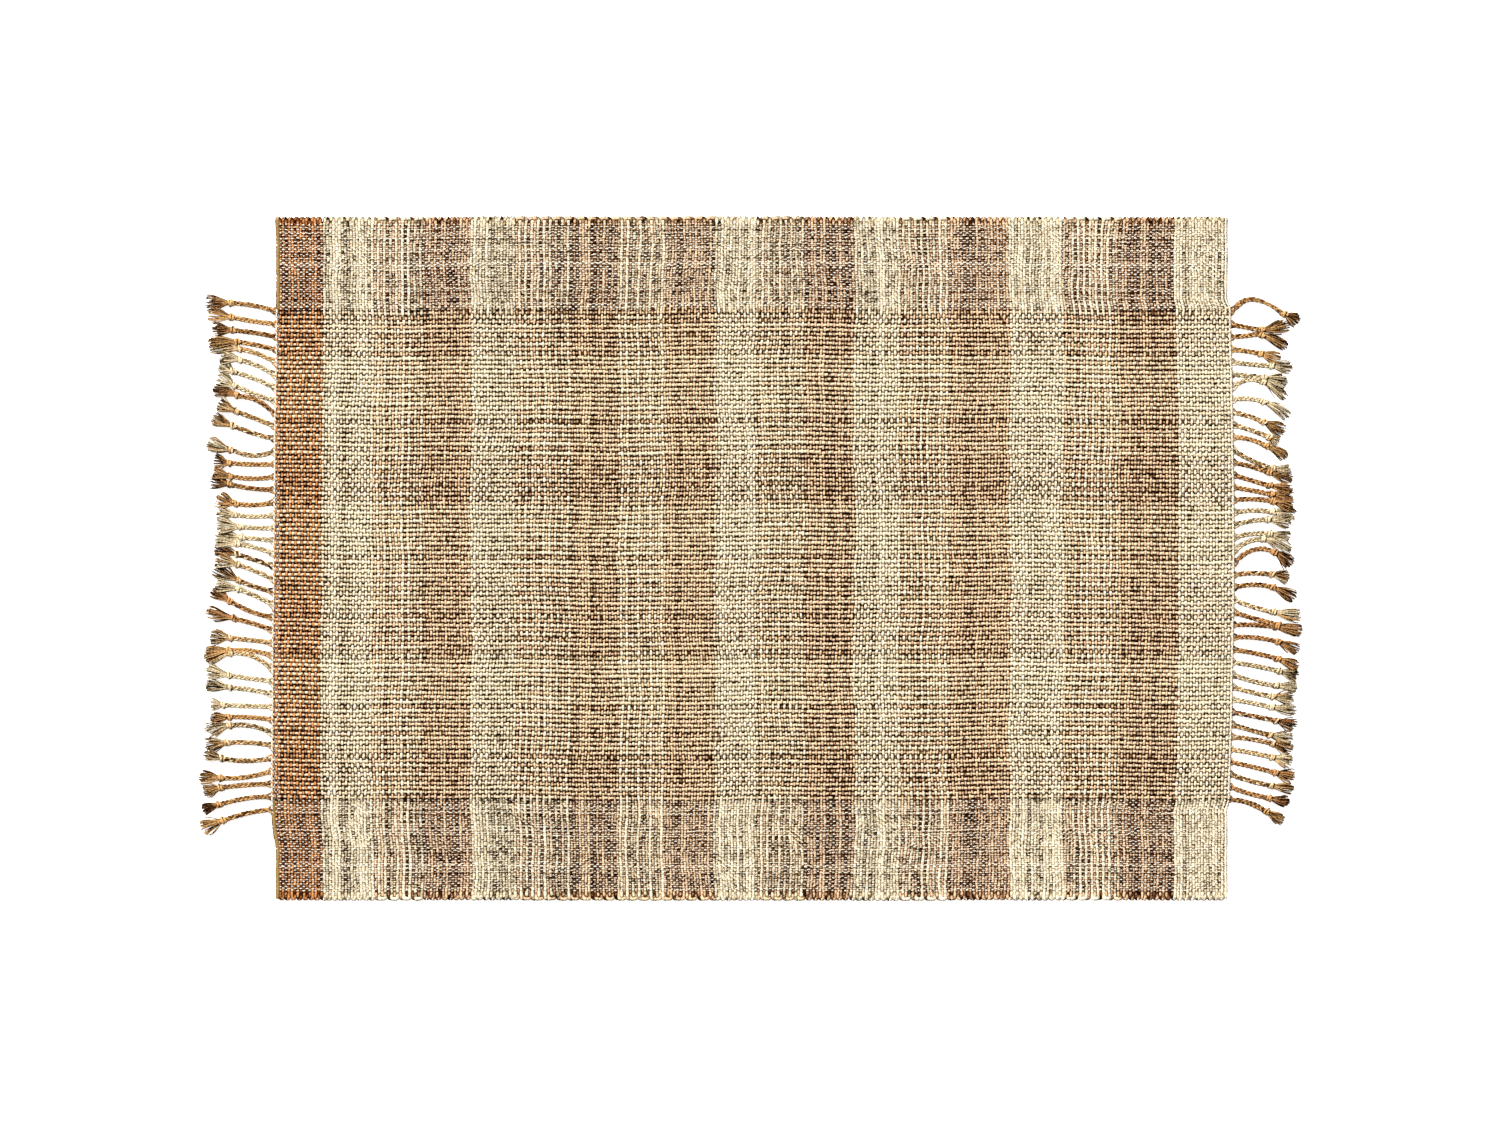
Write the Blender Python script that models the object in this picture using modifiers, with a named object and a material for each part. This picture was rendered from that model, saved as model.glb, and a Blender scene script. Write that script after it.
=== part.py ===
"""Handwoven plaid jute rug with cotton side bands and a braided fringe at each end.

Metres, +Z up. +X runs along the rug's length, the way the warp yarns run, and +Y
across it towards the far side band. The origin is the middle of the underside, so
the rug lies on the plane z = 0. Every solid here is the plain body of a soft piece.
"""

import math

import bmesh
import bpy

MM = 0.001

# ---- driving dimensions ------------------------------------------------------

RUG_WIDTH = 762 * MM            # across the cloth, from selvedge to selvedge
FIELD_LENGTH = 1075 * MM        # jute warp cloth, from end to end
FIELD_WIDTH = 548 * MM          # jute warp cloth, across
FIELD_THICKNESS = 7.0 * MM
FIELD_OFFSET = 4 * MM           # the field lies a little nearer the far side

BAND_SETBACK = 5.5 * MM         # the cotton warp side bands stop this short of the field's ends
BAND_THICKNESS = 4.6 * MM       # thinner than the field: the cotton warp is fine
SELVEDGE_WIDTH = 9 * MM         # row of turned weft loops along each long edge
SELVEDGE_THICKNESS = 5.4 * MM

EDGE_CORD_DIAMETER = 4.6 * MM   # last weft cord at the ends of the side bands
END_CORD_DIAMETER = 2.6 * MM    # twined cotton cord that locks the field's ends

BRAIDS_PER_END = 40
FRINGE_LENGTH = 76 * MM         # from the end cord to the tips of the tassels
FRINGE_THICKNESS = 7.0 * MM
BRAID_WIDTH = 7.0 * MM
SPLAY_LENGTH = 8 * MM           # where the three strands draw together
KNOT_START = 42 * MM            # distance of the knot from the braid's root
KNOT_LENGTH = 10 * MM
KNOT_WIDTH = 10.5 * MM
TASSEL_MEET = 60 * MM           # where a pair's two tassels lie against each other

FIT_GAP = 0.3 * MM              # between pieces that touch
ROOT_GAP = 2.4 * MM             # between the roots of neighbouring braids
TASSEL_GAP = 3.0 * MM           # between the tassels of neighbouring pairs
LEFT_LEAN = (7 * MM, 2 * MM)    # how far the tassels lean along Y: mean and wave
RIGHT_LEAN = (-11 * MM, 2 * MM)
LEAN_PERIOD = 10                # pairs in one wave of the lean
TASSEL_FLARE = 0.9              # a tassel's width where it meets its neighbour, as a share of its tip's
CLOTH_ROUNDING = 1.6 * MM
FRINGE_ROUNDING = 1.2 * MM
WELD_DISTANCE = 0.05 * MM

# ---- places worked out from them --------------------------------------------

FIELD_FAR_Y = FIELD_OFFSET + FIELD_WIDTH / 2
FIELD_NEAR_Y = FIELD_OFFSET - FIELD_WIDTH / 2
RUG_FAR_Y = RUG_WIDTH / 2
RUG_NEAR_Y = -RUG_WIDTH / 2
BAND_END_X = FIELD_LENGTH / 2 - BAND_SETBACK
END_CORD_X = FIELD_LENGTH / 2 + FIT_GAP + END_CORD_DIAMETER / 2
FRINGE_ROOT_X = FIELD_LENGTH / 2 + 2 * FIT_GAP + END_CORD_DIAMETER
BRAID_PITCH = FIELD_WIDTH / BRAIDS_PER_END

# ---- colours of the yarns, linear -------------------------------------------

JUTE_TAN = (0.44, 0.27, 0.12)
JUTE_BROWN = (0.33, 0.16, 0.06)
JUTE_CREAM = (0.70, 0.60, 0.40)
COTTON_WHITE = (0.85, 0.83, 0.77)
CORD_OLIVE = (0.26, 0.17, 0.06)


def clear_scene():
    for obj in list(bpy.data.objects):
        bpy.data.objects.remove(obj, do_unlink=True)


def yarn_material(name, colour, roughness=0.95):
    """Matt plant fibre: no metal and hardly any gloss."""
    material = bpy.data.materials.new(name)
    material.use_nodes = True
    shader = material.node_tree.nodes["Principled BSDF"]
    shader.inputs["Base Color"].default_value = (*colour, 1.0)
    shader.inputs["Roughness"].default_value = roughness
    shader.inputs["Metallic"].default_value = 0.0
    material.diffuse_color = (*colour, 1.0)
    return material


def add_rounding(obj, width):
    bevel = obj.modifiers.new("rounded edges", "BEVEL")
    bevel.width = width
    bevel.segments = 2
    bevel.limit_method = "ANGLE"


def slab(name, low, high, rounding, material, collection):
    """A flat piece of cloth between two corners, with softened edges."""
    mesh = bpy.data.meshes.new(name)
    shape = bmesh.new()
    bmesh.ops.create_cube(shape, size=1.0)
    for vert in shape.verts:
        for axis in range(3):
            middle = (low[axis] + high[axis]) / 2
            vert.co[axis] = middle + vert.co[axis] * (high[axis] - low[axis])
    shape.to_mesh(mesh)
    shape.free()
    obj = bpy.data.objects.new(name, mesh)
    mesh.materials.append(material)
    collection.objects.link(obj)
    add_rounding(obj, rounding)
    return obj


def straight_cord(name, x, y_near, y_far, diameter, material, collection):
    """A cord that lies on the floor plane and runs across the rug."""
    curve = bpy.data.curves.new(name, "CURVE")
    curve.dimensions = "3D"
    spline = curve.splines.new("POLY")
    spline.points.add(1)
    spline.points[0].co = (x, y_near, diameter / 2, 1.0)
    spline.points[1].co = (x, y_far, diameter / 2, 1.0)
    curve.bevel_depth = diameter / 2
    curve.bevel_resolution = 2
    curve.use_fill_caps = True
    obj = bpy.data.objects.new(name, curve)
    curve.materials.append(material)
    collection.objects.link(obj)
    return obj


def half_widths():
    """Stations along one braid: distance from the root and half the width there."""
    root = (BRAID_PITCH - ROOT_GAP) / 2
    knot_end = KNOT_START + KNOT_LENGTH
    return [
        (0.0, root),
        (SPLAY_LENGTH, BRAID_WIDTH / 2),
        (KNOT_START, BRAID_WIDTH / 2),
        (KNOT_START + KNOT_LENGTH / 4, KNOT_WIDTH / 2),
        (knot_end - KNOT_LENGTH / 4, KNOT_WIDTH / 2),
        (knot_end, BRAID_WIDTH / 2),
    ]


def pair_outline(lean):
    """Outline of two braids whose tassels lie together, as (outward, along) points.

    The outline runs out along the first braid's outer side, round the joined
    tassels, back along the second braid, and in and out of the gap between them.
    """
    first, second = -BRAID_PITCH / 2, BRAID_PITCH / 2
    stations = half_widths()
    tassel = BRAID_PITCH - TASSEL_GAP / 2
    outline = [(u, first - half) for u, half in stations]
    outline += [(TASSEL_MEET, -tassel * TASSEL_FLARE), (FRINGE_LENGTH, -tassel)]
    outline += [(FRINGE_LENGTH, tassel), (TASSEL_MEET, tassel * TASSEL_FLARE)]
    outline += [(u, second + half) for u, half in reversed(stations)]
    outline += [(u, second - half) for u, half in stations]
    outline += [(TASSEL_MEET, 0.0)]
    outline += [(u, first + half) for u, half in reversed(stations)]
    return [(u, v + lean * (u / FRINGE_LENGTH) ** 2) for u, v in outline]


def braid_pair(name, side, centre_y, lean, material, collection):
    """Two neighbouring braids with their knots and tassels, as one flat solid."""
    curve = bpy.data.curves.new(name, "CURVE")
    curve.dimensions = "2D"
    curve.fill_mode = "BOTH"
    curve.extrude = FRINGE_THICKNESS / 2
    spline = curve.splines.new("POLY")
    outline = pair_outline(lean)
    spline.points.add(len(outline) - 1)
    for point, (u, v) in zip(spline.points, outline):
        point.co = (side * (FRINGE_ROOT_X + u), centre_y + v, 0.0, 1.0)
    spline.use_cyclic_u = True
    obj = bpy.data.objects.new(name, curve)
    obj.location.z = FRINGE_THICKNESS / 2
    curve.materials.append(material)
    collection.objects.link(obj)
    weld = obj.modifiers.new("closed caps", "WELD")
    weld.merge_threshold = WELD_DISTANCE
    add_rounding(obj, FRINGE_ROUNDING)
    obj.modifiers["rounded edges"].segments = 1
    return obj


def build_cloth(collection):
    jute = yarn_material("jute cloth", JUTE_TAN)
    cotton = yarn_material("cotton warp cloth", JUTE_CREAM)
    turned = yarn_material("turned weft loops", JUTE_BROWN)
    slab(
        "woven_field",
        (-FIELD_LENGTH / 2, FIELD_NEAR_Y, 0.0),
        (FIELD_LENGTH / 2, FIELD_FAR_Y, FIELD_THICKNESS),
        CLOTH_ROUNDING, jute, collection,
    )
    band_x = BAND_END_X - EDGE_CORD_DIAMETER - FIT_GAP
    bands = {
        "far": (FIELD_FAR_Y + FIT_GAP, RUG_FAR_Y - SELVEDGE_WIDTH - FIT_GAP),
        "near": (RUG_NEAR_Y + SELVEDGE_WIDTH + FIT_GAP, FIELD_NEAR_Y - FIT_GAP),
    }
    for side, (low_y, high_y) in bands.items():
        slab(
            side + "_side_band",
            (-band_x, low_y, 0.0), (band_x, high_y, BAND_THICKNESS),
            CLOTH_ROUNDING, cotton, collection,
        )
    selvedges = {
        "far": (RUG_FAR_Y - SELVEDGE_WIDTH, RUG_FAR_Y),
        "near": (RUG_NEAR_Y, RUG_NEAR_Y + SELVEDGE_WIDTH),
    }
    for side, (low_y, high_y) in selvedges.items():
        slab(
            side + "_selvedge",
            (-band_x, low_y, 0.0), (band_x, high_y, SELVEDGE_THICKNESS),
            CLOTH_ROUNDING, turned, collection,
        )


def build_cords(collection):
    cotton = yarn_material("twined cotton cord", COTTON_WHITE)
    weft = yarn_material("weft edge cord", CORD_OLIVE)
    edge_x = BAND_END_X - EDGE_CORD_DIAMETER / 2
    for end, sign in (("left", -1), ("right", 1)):
        straight_cord(
            end + "_end_cord", sign * END_CORD_X, FIELD_NEAR_Y, FIELD_FAR_Y,
            END_CORD_DIAMETER, cotton, collection,
        )
        straight_cord(
            "far_" + end + "_edge_cord", sign * edge_x,
            FIELD_FAR_Y + FIT_GAP, RUG_FAR_Y,
            EDGE_CORD_DIAMETER, weft, collection,
        )
        straight_cord(
            "near_" + end + "_edge_cord", sign * edge_x,
            RUG_NEAR_Y, FIELD_NEAR_Y - FIT_GAP,
            EDGE_CORD_DIAMETER, weft, collection,
        )


def build_fringe(collection):
    """Forty braids at each end, counted from the far side, in neighbouring pairs."""
    braid = yarn_material("braided jute", JUTE_TAN)
    for end, sign, (mean, wave) in (("left", -1, LEFT_LEAN), ("right", 1, RIGHT_LEAN)):
        for pair in range(BRAIDS_PER_END // 2):
            first = 2 * pair + 1
            lean = mean + wave * math.sin(2 * math.pi * pair / LEAN_PERIOD)
            centre_y = FIELD_FAR_Y - first * BRAID_PITCH
            name = f"{end}_braids_{first:02d}_{first + 1:02d}"
            braid_pair(name, sign, centre_y, lean, braid, collection)


def build():
    clear_scene()
    collection = bpy.data.collections.new("plaid_jute_rug")
    bpy.context.scene.collection.children.link(collection)
    build_cloth(collection)
    build_cords(collection)
    build_fringe(collection)


build()
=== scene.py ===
# %% [markdown]
# # A handwoven plaid jute rug, yarn by yarn
#
# This lesson dresses a plain CAD model of a short, wide rug. The CAD model is a set of flat
# closed solids in a shared frame: metres, +X along the rug, +Y across it, +Z up, with the
# underside on z = 0. Everything here is placed from that frame, so nothing has to be fitted.

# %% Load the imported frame
import math

import bmesh
import bpy
import numpy as np
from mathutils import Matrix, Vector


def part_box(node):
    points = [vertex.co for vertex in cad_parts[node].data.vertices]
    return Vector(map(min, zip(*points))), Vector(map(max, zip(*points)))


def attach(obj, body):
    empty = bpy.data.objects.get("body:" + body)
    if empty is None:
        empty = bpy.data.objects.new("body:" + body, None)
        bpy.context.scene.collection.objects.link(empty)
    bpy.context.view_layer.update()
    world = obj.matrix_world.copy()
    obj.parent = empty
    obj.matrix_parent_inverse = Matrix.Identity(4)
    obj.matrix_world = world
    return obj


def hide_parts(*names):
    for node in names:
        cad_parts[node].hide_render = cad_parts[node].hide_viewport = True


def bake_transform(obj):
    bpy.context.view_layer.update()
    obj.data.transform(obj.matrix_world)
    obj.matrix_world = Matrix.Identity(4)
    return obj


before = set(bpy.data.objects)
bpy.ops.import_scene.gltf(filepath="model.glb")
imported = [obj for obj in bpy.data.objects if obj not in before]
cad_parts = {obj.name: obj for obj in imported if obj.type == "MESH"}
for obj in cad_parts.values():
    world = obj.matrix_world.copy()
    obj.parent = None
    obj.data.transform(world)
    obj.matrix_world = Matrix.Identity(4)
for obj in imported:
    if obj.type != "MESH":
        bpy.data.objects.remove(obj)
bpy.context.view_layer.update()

MM = 0.001

# %% [markdown]
# ## Where the cloth lies
#
# The middle of the rug is the field, where thick jute warp yarns cross thick jute weft yarns.
# Along both long sides the warp is thin white cotton, so the cloth is thinner there. The
# fringe is the field's own warp, braided. Every size that the CAD already knows is read from it.

# %% Read the places from the frame
FIELD_LOW, FIELD_HIGH = (np.array(corner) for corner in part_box("woven_field"))
NEAR_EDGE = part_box("near_selvedge")[0].y
FAR_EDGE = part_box("far_selvedge")[1].y
NEAR_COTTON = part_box("near_side_band")[0].y
FAR_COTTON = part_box("far_side_band")[1].y
BAND_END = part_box("far_right_edge_cord")[1].x
print(f"field {(FIELD_HIGH - FIELD_LOW) / MM} mm, side bands end at {BAND_END / MM:.1f} mm")

# %% [markdown]
# ## The plaid
#
# A plaid is only two lists: the colours of the weft stripes along the rug and the colours of
# the warp stripes across it. Where two colours are named, single yarns of each alternate, which
# gives the thin lines between the plain stripes. The weaver beat some stripes harder than
# others, so each weft stripe has its own width and its own number of yarns.

# %% The order of the yarns
WEFT_STRIPES = [                    # width in mm, number of yarns, the two dyes that alternate
    (52.6, 16, "rust", "rust"),
    (57.1, 17, "cream", "cream"),
    (54.8, 16, "brown", "cream"),
    (53.7, 16, "brown", "brown"),
    (50.4, 15, "cream", "cream"),
    (60.4, 18, "brown", "cream"),
    (52.6, 16, "tan", "brown"),
    (52.6, 16, "tan", "cream"),
    (56.0, 17, "brown", "tan"),
    (49.2, 15, "cream", "cream"),
    (51.5, 16, "tan", "cream"),
    (56.0, 16, "brown", "brown"),
    (51.5, 15, "cream", "cream"),
    (57.1, 17, "brown", "cream"),
    (64.9, 19, "brown", "brown"),
    (60.4, 18, "cream", "cream"),
    (59.3, 18, "brown", "cream"),
    (64.9, 19, "brown", "brown"),
    (59.3, 18, "cream", "cream"),
]
WARP_STRIPES = [                    # number of yarns from the far side, the two dyes
    (10, "warp_tan", "warp_tan"),
    (12, "warp_cream", "warp_cream"),
    (11, "warp_tan", "warp_cream"),
    (10, "warp_tan", "warp_tan"),
    (11, "warp_cream", "warp_cream"),
    (11, "warp_tan", "warp_cream"),
    (11, "warp_tan", "warp_tan"),
    (11, "warp_cream", "warp_cream"),
    (11, "warp_tan", "warp_cream"),
    (10, "warp_tan", "warp_tan"),
]
WARP_YARNS = sum(stripe[0] for stripe in WARP_STRIPES)
WARP_PITCH = (FIELD_HIGH[1] - FIELD_LOW[1]) / WARP_YARNS
WARP_Y = FIELD_HIGH[1] - (np.arange(WARP_YARNS) + 0.5) * WARP_PITCH
COTTON_PITCH = 2.45 * MM            # chosen: the real spacing is too fine to be sure of
print(f"{WARP_YARNS} warp yarns, {WARP_PITCH / MM:.2f} mm apart")

# %% [markdown]
# ## One function for colour, one for nodes
#
# Colours are chosen as sRGB hex values, but Blender's shaders work in linear light, so one function
# converts them. Another adds a node with its settings and its links in one line.

# %% Colour and node helpers
def linear(hex_colour):
    """Turn an sRGB hex colour into the linear RGBA that shader sockets take."""
    channels = [int(hex_colour[k:k + 2], 16) / 255 for k in (0, 2, 4)]
    light = [c / 12.92 if c <= 0.04045 else ((c + 0.055) / 1.055) ** 2.4 for c in channels]
    return (*light, 1.0)


def add_node(tree, kind, inputs=None, **settings):
    """Add a node, set its properties, and fill or link its inputs by name or number."""
    node = tree.nodes.new(kind)
    for name, value in settings.items():
        setattr(node, name, value)
    for socket, value in (inputs or {}).items():
        if isinstance(value, bpy.types.NodeSocket):
            tree.links.new(value, node.inputs[socket])
        else:
            node.inputs[socket].default_value = value
    return node


# %% [markdown]
# ## Jute and cotton
#
# Jute is a coarse bast fibre. It is spun dry into a hairy two-ply yarn, so it has no shine, and its
# colour changes every few millimetres along the yarn. Its crowns are painted paler and its hollows
# darker: a painted highlight on the tops and painted shade where the light doesn't reach. Cotton warp
# is finer, whiter and more even. The same recipe serves both, with different colours and scales:
#
# - slubs, the thick and thin places of the spinning, about 6 mm long;
# - fibres, streaks about 0.5 mm wide that follow the twist. Real jute fibres are nearer 0.05 mm,
#   and are drawn ten times as coarse so that they show;
# - the crown, a value from 0 in the hollows of the weave to 1 on its tops, stored on the mesh, which
#   paints shade into the hollows and a highlight onto the tops;
# - the tone, one random value per yarn, because no two cones of jute match.
#
# The pattern needs to know how far along and around its yarn each point is. A UV map called
# "yarn" holds both, in metres along and in turns around.

# %% The yarn material
YARN_ROUND = 9 * MM                 # the way round one jute yarn
SLUB_LENGTH = 6 * MM
FIBRE_WIDTH = 0.5 * MM
PLY_TWIST = 7 * MM                  # one full turn of a ply


def spun_yarn(name, hollow, body, crown, slub=0.9, fibre=0.9, lift=1.0, roughness=(0.72, 0.95)):
    """Matt spun fibre: hollow, body and crown are its colours from the gaps to the tops; hollow is
    painted shade and crown a painted highlight.
    """
    material = bpy.data.materials.new(name)
    material.use_nodes = True
    tree = material.node_tree
    shader = tree.nodes["Principled BSDF"]
    yarn = add_node(tree, "ShaderNodeUVMap", uv_map="yarn")
    place = add_node(tree, "ShaderNodeSeparateXYZ", {0: yarn.outputs["UV"]})
    lot = add_node(tree, "ShaderNodeAttribute", attribute_name="lot")
    tone = add_node(tree, "ShaderNodeAttribute", attribute_name="tone")
    top = add_node(tree, "ShaderNodeAttribute", attribute_name="crown")
    along = place.outputs["X"]
    around = add_node(tree, "ShaderNodeMath", {0: place.outputs["Y"], 1: YARN_ROUND},
                      operation="MULTIPLY").outputs[0]
    spot = add_node(tree, "ShaderNodeCombineXYZ", {"X": along, "Y": around, "Z": lot.outputs["Fac"]})
    slubs = add_node(tree, "ShaderNodeTexNoise",
                     {"Vector": spot.outputs[0], "Scale": 1 / SLUB_LENGTH, "Detail": 2.0})
    slow = add_node(tree, "ShaderNodeMath", {0: along, 1: 0.12}, operation="MULTIPLY")
    turned = add_node(tree, "ShaderNodeMath",
                      {0: along, 1: YARN_ROUND / PLY_TWIST, 2: around}, operation="MULTIPLY_ADD")
    streak = add_node(tree, "ShaderNodeCombineXYZ", {"X": slow.outputs[0], "Y": turned.outputs[0],
                                                     "Z": lot.outputs["Fac"]})
    fibres = add_node(tree, "ShaderNodeTexNoise",
                      {"Vector": streak.outputs[0], "Scale": 1 / FIBRE_WIDTH, "Detail": 2.0})
    shade = add_node(tree, "ShaderNodeMath", {0: slubs.outputs["Fac"], 1: slub, 2: -slub / 2},
                     operation="MULTIPLY_ADD")
    shade = add_node(tree, "ShaderNodeMath", {0: fibres.outputs["Fac"], 1: fibre,
                                              2: shade.outputs[0]}, operation="MULTIPLY_ADD")
    # The crown attribute, scaled by lift, adds painted light: painted shade in the hollows, a painted
    # highlight on the tops.
    shade = add_node(tree, "ShaderNodeMath", {0: top.outputs["Fac"], 1: lift,
                                              2: shade.outputs[0]}, operation="MULTIPLY_ADD")
    shade = add_node(tree, "ShaderNodeMath", {0: tone.outputs["Fac"], 1: 0.12,
                                              2: shade.outputs[0]}, operation="MULTIPLY_ADD")
    shade = add_node(tree, "ShaderNodeMath", {0: shade.outputs[0], 1: fibre / 2 + lift / 2 - 0.5},
                     operation="SUBTRACT")
    # The ramp runs from the hollow colour, painted shade, through the yarn's own body colour, to the
    # crown colour, a painted highlight.
    ramp = add_node(tree, "ShaderNodeValToRGB", {"Fac": shade.outputs[0]})
    stops = ramp.color_ramp.elements
    stops[0].position, stops[0].color = 0.36, linear(hollow)
    stops[1].position, stops[1].color = 0.72, linear(crown)
    middle = stops.new(0.53)
    middle.color = linear(body)
    tree.links.new(ramp.outputs["Color"], shader.inputs["Base Color"])
    dull = add_node(tree, "ShaderNodeMapRange", {"Value": fibres.outputs["Fac"], "From Min": 0.3,
                    "From Max": 0.7, "To Min": roughness[1], "To Max": roughness[0]})
    tree.links.new(dull.outputs[0], shader.inputs["Roughness"])
    phase = add_node(tree, "ShaderNodeMath", {0: place.outputs["Y"], 1: 4 * math.pi},
                     operation="MULTIPLY")
    phase = add_node(tree, "ShaderNodeMath", {0: along, 1: 2 * math.pi / (PLY_TWIST / 2),
                                              2: phase.outputs[0]}, operation="MULTIPLY_ADD")
    plies = add_node(tree, "ShaderNodeMath", {0: phase.outputs[0]}, operation="SINE")
    relief = add_node(tree, "ShaderNodeMath", {0: plies.outputs[0], 1: 0.35,
                                               2: fibres.outputs["Fac"]}, operation="MULTIPLY_ADD")
    bump = add_node(tree, "ShaderNodeBump", {"Strength": 0.7, "Distance": 0.5 * MM,
                                             "Height": relief.outputs[0]})
    tree.links.new(bump.outputs[0], shader.inputs["Normal"])
    shader.inputs["IOR"].default_value = 1.45
    shader.inputs["Specular IOR Level"].default_value = 0.06
    shader.inputs["Sheen Weight"].default_value = 0.02
    shader.inputs["Sheen Roughness"].default_value = 0.6
    return material


# %% [markdown]
# Rust and brown jute are dyed, tan jute is the raw fibre, cream jute is bleached, and the cotton is
# bleached nearly white. The same tan and cream look a little different in the warp, which is pulled
# straight, and the braids are given darker colours of their own. The cord at the left ends of the side
# bands is raw jute gone olive.

# %% The yarns of this rug
# Each yarn's first colour is painted shade for its hollows, the second its own colour, the third a
# painted highlight for its crowns.
YARNS = {
    "rust": spun_yarn("rust_jute", "120000", "5c2402", "e8a66c"),
    "brown": spun_yarn("brown_jute", "120200", "733f14", "ffdfbb"),
    "tan": spun_yarn("tan_jute", "140500", "7a4e22", "ffe6c2"),
    "cream": spun_yarn("cream_jute", "241200", "e6d7b4", "fffef0"),
    "white": spun_yarn("bleached_cotton", "6e4424", "f8efe0", "fffdf6", fibre=0.4),
    "warp_tan": spun_yarn("tan_jute_warp", "140500", "7c532c", "ffebd2"),
    "warp_cream": spun_yarn("cream_jute_warp", "241200", "d6c7a4", "faf0da"),
    "olive": spun_yarn("olive_jute_cord", "241804", "5e4726", "a58c5c"),
    "tan_braid": spun_yarn("braid_tan_jute", "160500", "7c4d1e", "eabf85"),
    "brown_braid": spun_yarn("braid_brown_jute", "120200", "70421a", "dfae78"),
    "cream_braid": spun_yarn("braid_cream_jute", "201000", "c2ac80", "fdf0d2"),
}
DYES = list(YARNS)
print("materials", [material.name for material in YARNS.values()])

# %% [markdown]
# ## Winding yarn into meshes
#
# A woven cloth could be a flat sheet with a weave painted in its bump map. That looks right only
# from straight above, so here every yarn is a real closed tube that goes over and under the
# others. There are hundreds of them, so a skein gathers whole bundles as number arrays and
# writes them into one mesh at the end, which is far quicker than one curve object per yarn.
#
# Each tube is an ellipse swept along a path: wide and flat, as a yarn is when it is beaten into
# a cloth. The skein keeps what the material needs, and a second UV map, "OFBake", with a strip
# of its own for each yarn, so that the colours can be baked into an image later.

# %% The skein
CLOTH_MIDDLE = 3 * MM               # the underside is shaded as the mirror image of the top


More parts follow.
